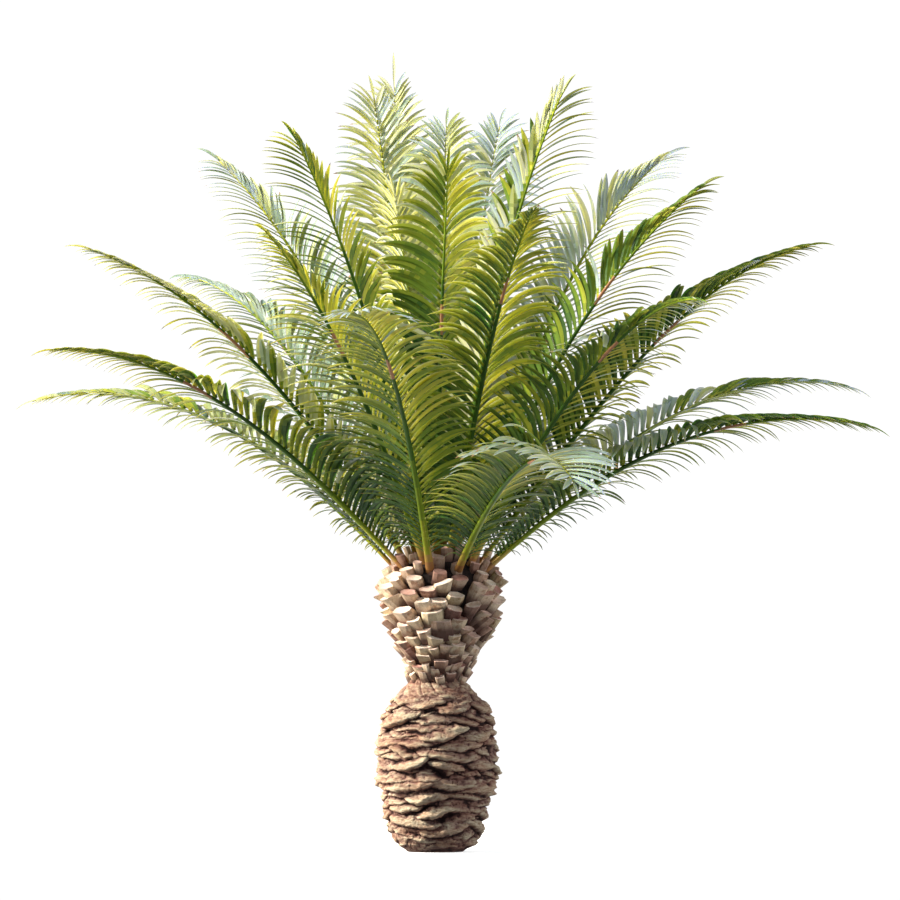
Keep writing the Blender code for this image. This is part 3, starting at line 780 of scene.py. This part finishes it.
    # flat cut below and the hidden top, as fans
    low, high = len(verts), len(verts) + 1
    verts = np.concatenate([verts, [[0.0, 0.0, 0.0], [float(lean(top)), 0.0, top]]])
    last = (tall - 1) * around
    for i in range(around):
        j = (i + 1) % around
        faces.append((low, j, i))
        faces.append((high, last + i, last + j))
    obj = mesh_object("trunk_bark", verts, faces, [bark_material()])
    values = np.concatenate([np.clip(tone_and_painted_shade, 0, 1).ravel(), [0.4, 0.2]]).astype(np.float32)
    obj.data.attributes.new("tone_and_painted_shade", "FLOAT", "POINT").data.foreach_set("value", values)
    return finish_piece(obj, "trunk_bark", "trunk")


build_trunk()


# ---------------------------------------------------------------- cut leaf bases
def stub_material():
    mat, tree, shader = rough_material("leaf_base_side", 0.80, 0.2)
    tone, along = attribute(tree, "tone"), attribute(tree, "along")
    grain = noise_tex(tree, coords(tree, (34.0, 34.0, 7.0)), 3.0, 4.0, 0.6, 0.3)
    blotch = noise_tex(tree, coords(tree, (1.0, 1.0, 1.0)), 16.0, 3.0, 0.55)
    base = ramp(tree, tone, ((0.0, (0.20, 0.100, 0.080)), (0.16, (0.42, 0.27, 0.200)), (0.38, (0.70, 0.545, 0.400)),
                             (0.66, (0.80, 0.660, 0.490)), (0.84, (0.66, 0.550, 0.365)), (1.0, (0.46, 0.370, 0.220))))
    # painted shade: each stub darker towards its deep end, where it goes in among the others
    deep_end_shade = blend_rgb(tree, ramp(tree, along, ((0.0, (1, 1, 1)), (0.52, (0.90, 0.90, 0.90)), (0.82, (0, 0, 0)))), base, (0.15, 0.10, 0.11), "MULTIPLY")
    streaked = blend_rgb(tree, ramp(tree, grain, ((0.32, (0.70, 0.70, 0.70)), (0.50, (0, 0, 0)))), deep_end_shade, (0.66, 0.54, 0.44), "MULTIPLY")
    blotched = blend_rgb(tree, ramp(tree, blotch, ((0.54, (0, 0, 0)), (0.66, (0.8, 0.8, 0.8)))), streaked, (0.52, 0.36, 0.32), "MULTIPLY")
    tree.links.new(blotched, shader.inputs["Base Color"])
    tree.links.new(bump(tree, grain, 0.35, 0.004), shader.inputs["Normal"])
    return mat


def cut_material():
    mat, tree, shader = rough_material("leaf_base_cut", 0.72, 0.25)
    tone = attribute(tree, "tone")
    dots = noise_tex(tree, coords(tree, (1.0, 1.0, 1.0)), 120.0, 2.0, 0.5)
    broad = noise_tex(tree, coords(tree, (1.0, 1.0, 1.0)), 22.0, 2.0, 0.5)
    base = ramp(tree, tone, ((0.0, (0.42, 0.215, 0.185)), (0.20, (0.60, 0.390, 0.335)), (0.50, (0.80, 0.640, 0.555)), (1.0, (0.88, 0.770, 0.650))))
    stained = blend_rgb(tree, ramp(tree, broad, ((0.45, (0, 0, 0)), (0.70, (0.6, 0.6, 0.6)))), base, (0.80, 0.62, 0.54), "MULTIPLY")
    dotted = blend_rgb(tree, ramp(tree, dots, ((0.34, (0.6, 0.6, 0.6)), (0.46, (0, 0, 0)))), stained, (0.74, 0.60, 0.50), "MULTIPLY")
    tree.links.new(dotted, shader.inputs["Base Color"])
    tree.links.new(bump(tree, dots, 0.25, 0.002), shader.inputs["Normal"])
    return mat


def fibre_material():
    mat, tree, shader = rough_material("leaf_base_fibre_and_shade", 0.95, 0.1)
    strands = noise_tex(tree, coords(tree, (26.0, 26.0, 5.0)), 4.0, 5.0, 0.7, 0.8)
    # brown fibre, darkened nearly to black as painted shade in the gaps between the cut leaf bases
    base = ramp(tree, strands, ((0.30, (0.010, 0.009, 0.012)), (0.55, (0.030, 0.022, 0.020)), (0.80, (0.10, 0.062, 0.040))))
    tree.links.new(base, shader.inputs["Base Color"])
    tree.links.new(bump(tree, strands, 0.6, 0.010), shader.inputs["Normal"])
    return mat


def build_core():
    """The dark fibrous body that the cut leaf bases stand on, brown fibre darkened nearly to black as painted shade in
    the gaps.
    """
    around, heights = 96, np.linspace(NECK_Z - 0.004, 1.80, 60)
    th = np.arange(around) / around * 2 * math.pi
    rows = []
    for z in heights:
        r = collar_radius(z) - lerp(z, ((1.06, 0.030), (1.12, 0.044), (1.40, 0.074), (1.60, 0.084), (1.72, 0.080), (1.80, 0.10)))
        p = np.stack([np.cos(th) * 6, np.sin(th) * 6, np.full(around, z * 9)], 1)
        rr = r + 0.010 * fractal(p, 51)
        rows.append(np.stack([float(lean(z)) + rr * np.cos(th), rr * np.sin(th), np.full(around, z)], 1))
    rows.append(np.stack([LEAN_X + 0.08 * np.cos(th), 0.08 * np.sin(th), np.full(around, 1.815)], 1))
    verts = np.concatenate(rows)
    faces = []
    for k in range(len(rows) - 1):
        for i in range(around):
            j = (i + 1) % around
            faces.append((k * around + i, k * around + j, (k + 1) * around + j, (k + 1) * around + i))
    low, high = len(verts), len(verts) + 1
    verts = np.concatenate([verts, [[LEAN_X, 0, NECK_Z - 0.004], [LEAN_X, 0, 1.82]]])
    last = (len(rows) - 1) * around
    for i in range(around):
        j = (i + 1) % around
        faces.append((low, j, i))
        faces.append((high, last + i, last + j))
    obj = mesh_object("leaf_base_fibre_and_shade", verts, faces, [fibre_material()])
    return finish_piece(obj, "cut_leaf_bases", "leaf_base_collar")


def build_stubs():
    rng = np.random.default_rng(87)
    stubs = []
    z, k = NECK_Z + 0.016, 0
    while z < 1.745:
        size = lerp(z, ((1.06, 0.066), (1.15, 0.078), (1.28, 0.098), (1.42, 0.116), (1.60, 0.126), (1.75, 0.118)))
        r = collar_radius(z)
        stubs.append((z + rng.normal(0, 0.011), r, k * 2.399963 + rng.normal(0, 0.060), size))
        z += size * 0.71 * size / (2 * math.pi * r)
        k += 1
    # inner ones round the stalks, higher than the rim
    for ring, (rr, zt, count) in enumerate(((0.315, 1.790, 15), (0.235, 1.850, 11))):
        for i in range(count):
            stubs.append((zt + rng.normal(0, 0.018), rr + rng.normal(0, 0.008),
                          (i + 0.5 * ring + rng.normal(0, 0.12)) / count * 2 * math.pi, 0.092))
    verts, faces, mats, tone, along, sharp = [], [], [], [], [], []
    sides = 10
    a = np.arange(sides) / sides * 2 * math.pi
    for z, r, th, size in stubs:
        inner = z > 1.755
        out = np.array([math.cos(th), math.sin(th), 0.0])
        rise = math.radians(lerp(z, ((1.06, 62), (1.15, 52), (1.35, 43), (1.60, 42), (1.70, 50), (1.78, 70), (1.90, 80)))
                            + rng.normal(0, 7))
        skew = rng.normal(0, 0.10)
        across = np.array([-math.sin(th), math.cos(th), 0.0])
        axis = unit(out * math.cos(rise) + np.array([0, 0, math.sin(rise)]) + across * skew)
        across = unit(across - axis * (across @ axis))
        face = np.cross(axis, across)                # the way its outer back faces
        if face @ out < 0:
            face = -face
        width = size * (0.62 + 0.58 * rng.beta(1.3, 1.9)) * (0.95 if inner else 1.0)
        thick = width * rng.uniform(0.55, 0.85)
        long = size * rng.uniform(1.15, 1.45) * (1.5 if inner else 1.0)
        top = np.array([float(lean(z)), 0, z]) + out * (r - 0.35 * thick * math.sin(rise))
        top = top + axis * rng.uniform(-0.020, 0.018)
        tip_up = math.radians(max(math.degrees(rise), rng.normal(62, 9)))    # sawn off nearly level
        cut = unit(out * math.cos(tip_up) + np.array([0, 0, math.sin(tip_up)]) + across * rng.normal(0.0, 0.20))
        power = rng.uniform(0.52, 0.92)              # squarer or rounder outline
        irr = 1 + rng.normal(0, 0.085, sides)
        ca, sa = np.cos(a + rng.uniform(-0.15, 0.15)), np.sin(a)
        px = np.sign(ca) * np.abs(ca) ** power * irr
        py = np.sign(sa) * np.abs(sa) ** power * irr * np.where(sa > 0, 0.95, 1.05)
        own = float(np.clip(rng.beta(1.5, 1.5), 0, 1)) * (0.45 if inner else 1.0)
        cut_own = float(np.clip(own * 0.5 + rng.uniform(0.0, 0.75), 0, 1))
        if rng.random() < 0.16:
            cut_own = rng.uniform(0, 0.15)
        start = len(verts)
        spread = rng.uniform(0.92, 1.22)
        profile = ((-long, spread), (-long * 0.62, spread * 0.99), (-long * 0.28, 1.0 + (spread - 1) * 0.45), (-0.006, 1.0), (0.0, 0.965))
        for level, (l, s) in enumerate(profile):
            wob = 1 + rng.normal(0, 0.018, sides) * (level < 3)
            q = (across[None] * (px * width * 0.5 * s * wob)[:, None] + face[None] * (py * thick * 0.5 * s * wob)[:, None])
            base = top + axis * l
            pts = base + q
            if level >= 3:                           # the sawn end lies in its own plane
                pts = pts - axis * ((q @ cut) / (axis @ cut))[:, None]
            verts += pts.tolist()
            tone += [own] * sides if level < 4 else [cut_own] * sides
            along += [1.0 + l / long] * sides
        for level in range(len(profile) - 1):
            b0, b1 = start + level * sides, start + (level + 1) * sides
            for i in range(sides):
                j = (i + 1) % sides
                faces.append((b0 + i, b0 + j, b1 + j, b1 + i))
                mats.append(0 if level < 3 else 1)
        # dished cut face: one ring and a middle
        ring = len(verts)
        edge = np.array(verts[start + 4 * sides:start + 5 * sides])
        mid = edge.mean(0)
        verts += (mid + (edge - mid) * 0.72 - cut * 0.0035).tolist()
        verts.append((mid - cut * 0.006).tolist())
        tone += [cut_own] * (sides + 1)
        along += [1.0] * (sides + 1)
        for i in range(sides):
            j = (i + 1) % sides
            e0 = start + 4 * sides
            faces.append((e0 + i, e0 + j, ring + j, ring + i))
            faces.append((ring + i, ring + j, ring + sides))
            mats += [1, 1]
        faces.append(tuple(start + i for i in range(sides))[::-1])
        mats.append(0)
        # outward winding
        n0 = np.cross(np.array(verts[start + 1]) - verts[start], np.array(verts[start + sides]) - verts[start])
        if n0 @ (np.array(verts[start]) - (top - axis * long)) < 0:
            count = (len(profile) - 1) * sides + 2 * sides + 1
            faces[-count:] = [f[::-1] for f in faces[-count:]]
        sharp.append((start, start + len(profile) * sides))
    obj = mesh_object("leaf_base_stubs", verts, faces, [stub_material(), cut_material()], mats, smooth_faces=False)
    for name, values in (("tone", tone), ("along", along)):
        obj.data.attributes.new(name, "FLOAT", "POINT").data.foreach_set("value", np.array(values, np.float32))
    print("stubs", len(stubs))
    return finish_piece(obj, "cut_leaf_bases", "leaf_base_collar")


build_core()
build_stubs()

# ---------------------------------------------------------------- floor, light and camera
sides = 96
floor_r = 6.0
ring = [(floor_r * math.cos(2 * math.pi * i / sides), floor_r * math.sin(2 * math.pi * i / sides), -0.001) for i in range(sides)]
floor_mat = plain("floor_white", (0.80, 0.80, 0.80), 0.9, 0.0)
floor_mat.node_tree.nodes["Principled BSDF"].inputs["Emission Color"].default_value = (1.0, 1.0, 1.0, 1.0)
floor_mat.node_tree.nodes["Principled BSDF"].inputs["Emission Strength"].default_value = 0.75
floor = mesh_object("floor", ring, [tuple(range(sides))], [floor_mat])
floor.visible_diffuse = False

world = bpy.data.worlds.new("soft_white")
world.use_nodes = True
sky = world.node_tree.nodes["Background"]
sky.inputs["Strength"].default_value = 0.78
# the sky light comes mostly from above, by its direction in the world
where = world.node_tree.nodes.new("ShaderNodeTexCoord")
axes = world.node_tree.nodes.new("ShaderNodeSeparateXYZ")
height = world.node_tree.nodes.new("ShaderNodeMapRange")
height.inputs["From Min"].default_value = -1.0
height.inputs["From Max"].default_value = 1.0
world.node_tree.links.new(where.outputs["Generated"], axes.inputs[0])
world.node_tree.links.new(axes.outputs["Z"], height.inputs["Value"])
shade = ramp(world.node_tree, height.outputs["Result"], ((0.0, (0.13, 0.13, 0.13)), (0.46, (0.24, 0.25, 0.26)), (0.62, (0.42, 0.46, 0.50)),
                                                         (1.0, (0.80, 0.88, 0.98))))
world.node_tree.links.new(shade, sky.inputs["Color"])
# the backdrop that is seen is white; what lights the palm is a softer, cooler fill
seen = world.node_tree.nodes.new("ShaderNodeBackground")
seen.inputs["Color"].default_value = (1.0, 1.0, 1.0, 1.0)
seen.inputs["Strength"].default_value = 1.05
path = world.node_tree.nodes.new("ShaderNodeLightPath")
both = world.node_tree.nodes.new("ShaderNodeMixShader")
world.node_tree.links.new(path.outputs["Is Camera Ray"], both.inputs[0])
world.node_tree.links.new(sky.outputs[0], both.inputs[1])
world.node_tree.links.new(seen.outputs[0], both.inputs[2])
world.node_tree.links.new(both.outputs[0], world.node_tree.nodes["World Output"].inputs["Surface"])
scene.world = world


def lamp(name, kind, energy, colour, azimuth, elevation, size):
    """A lamp that shines on the crown from a compass direction, 0 = +X, 90 = +Y."""
    data = bpy.data.lights.new(name, kind)
    data.energy = energy
    data.color = colour
    a, e = math.radians(azimuth), math.radians(elevation)
    back = np.array([math.cos(e) * math.cos(a), math.cos(e) * math.sin(a), math.sin(e)])
    data.angle = math.radians(size)
    obj = bpy.data.objects.new(name, data)
    scene.collection.objects.link(obj)
    obj.location = tuple(back * 12)
    from mathutils import Vector
    obj.rotation_mode = "QUATERNION"
    obj.rotation_quaternion = Vector(back).to_track_quat("Z", "Y")
    return obj


lamp("key", "SUN", 7.5, (1.0, 0.935, 0.80), 187, 33, 6)
lamp("low_key", "SUN", 3.2, (1.0, 0.93, 0.80), 179, 6, 12)
lamp("bounce", "SUN", 1.15, (1.0, 0.95, 0.90), 350, 4, 30)

camera = bpy.data.cameras.new("camera")
camera.sensor_width = 36.0
camera.lens = 260.2
camera.clip_start, camera.clip_end = 1.0, 400.0
camera.dof.use_dof = False
cam = bpy.data.objects.new("camera", camera)
cam.location = (0.0953, -40.0, 1.5)
cam.rotation_euler = (math.radians(90.0 + 1.384), 0.0, 0.0)
scene.collection.objects.link(cam)
scene.camera = cam
scene.view_settings.view_transform = "Standard"
scene.view_settings.look = "None"
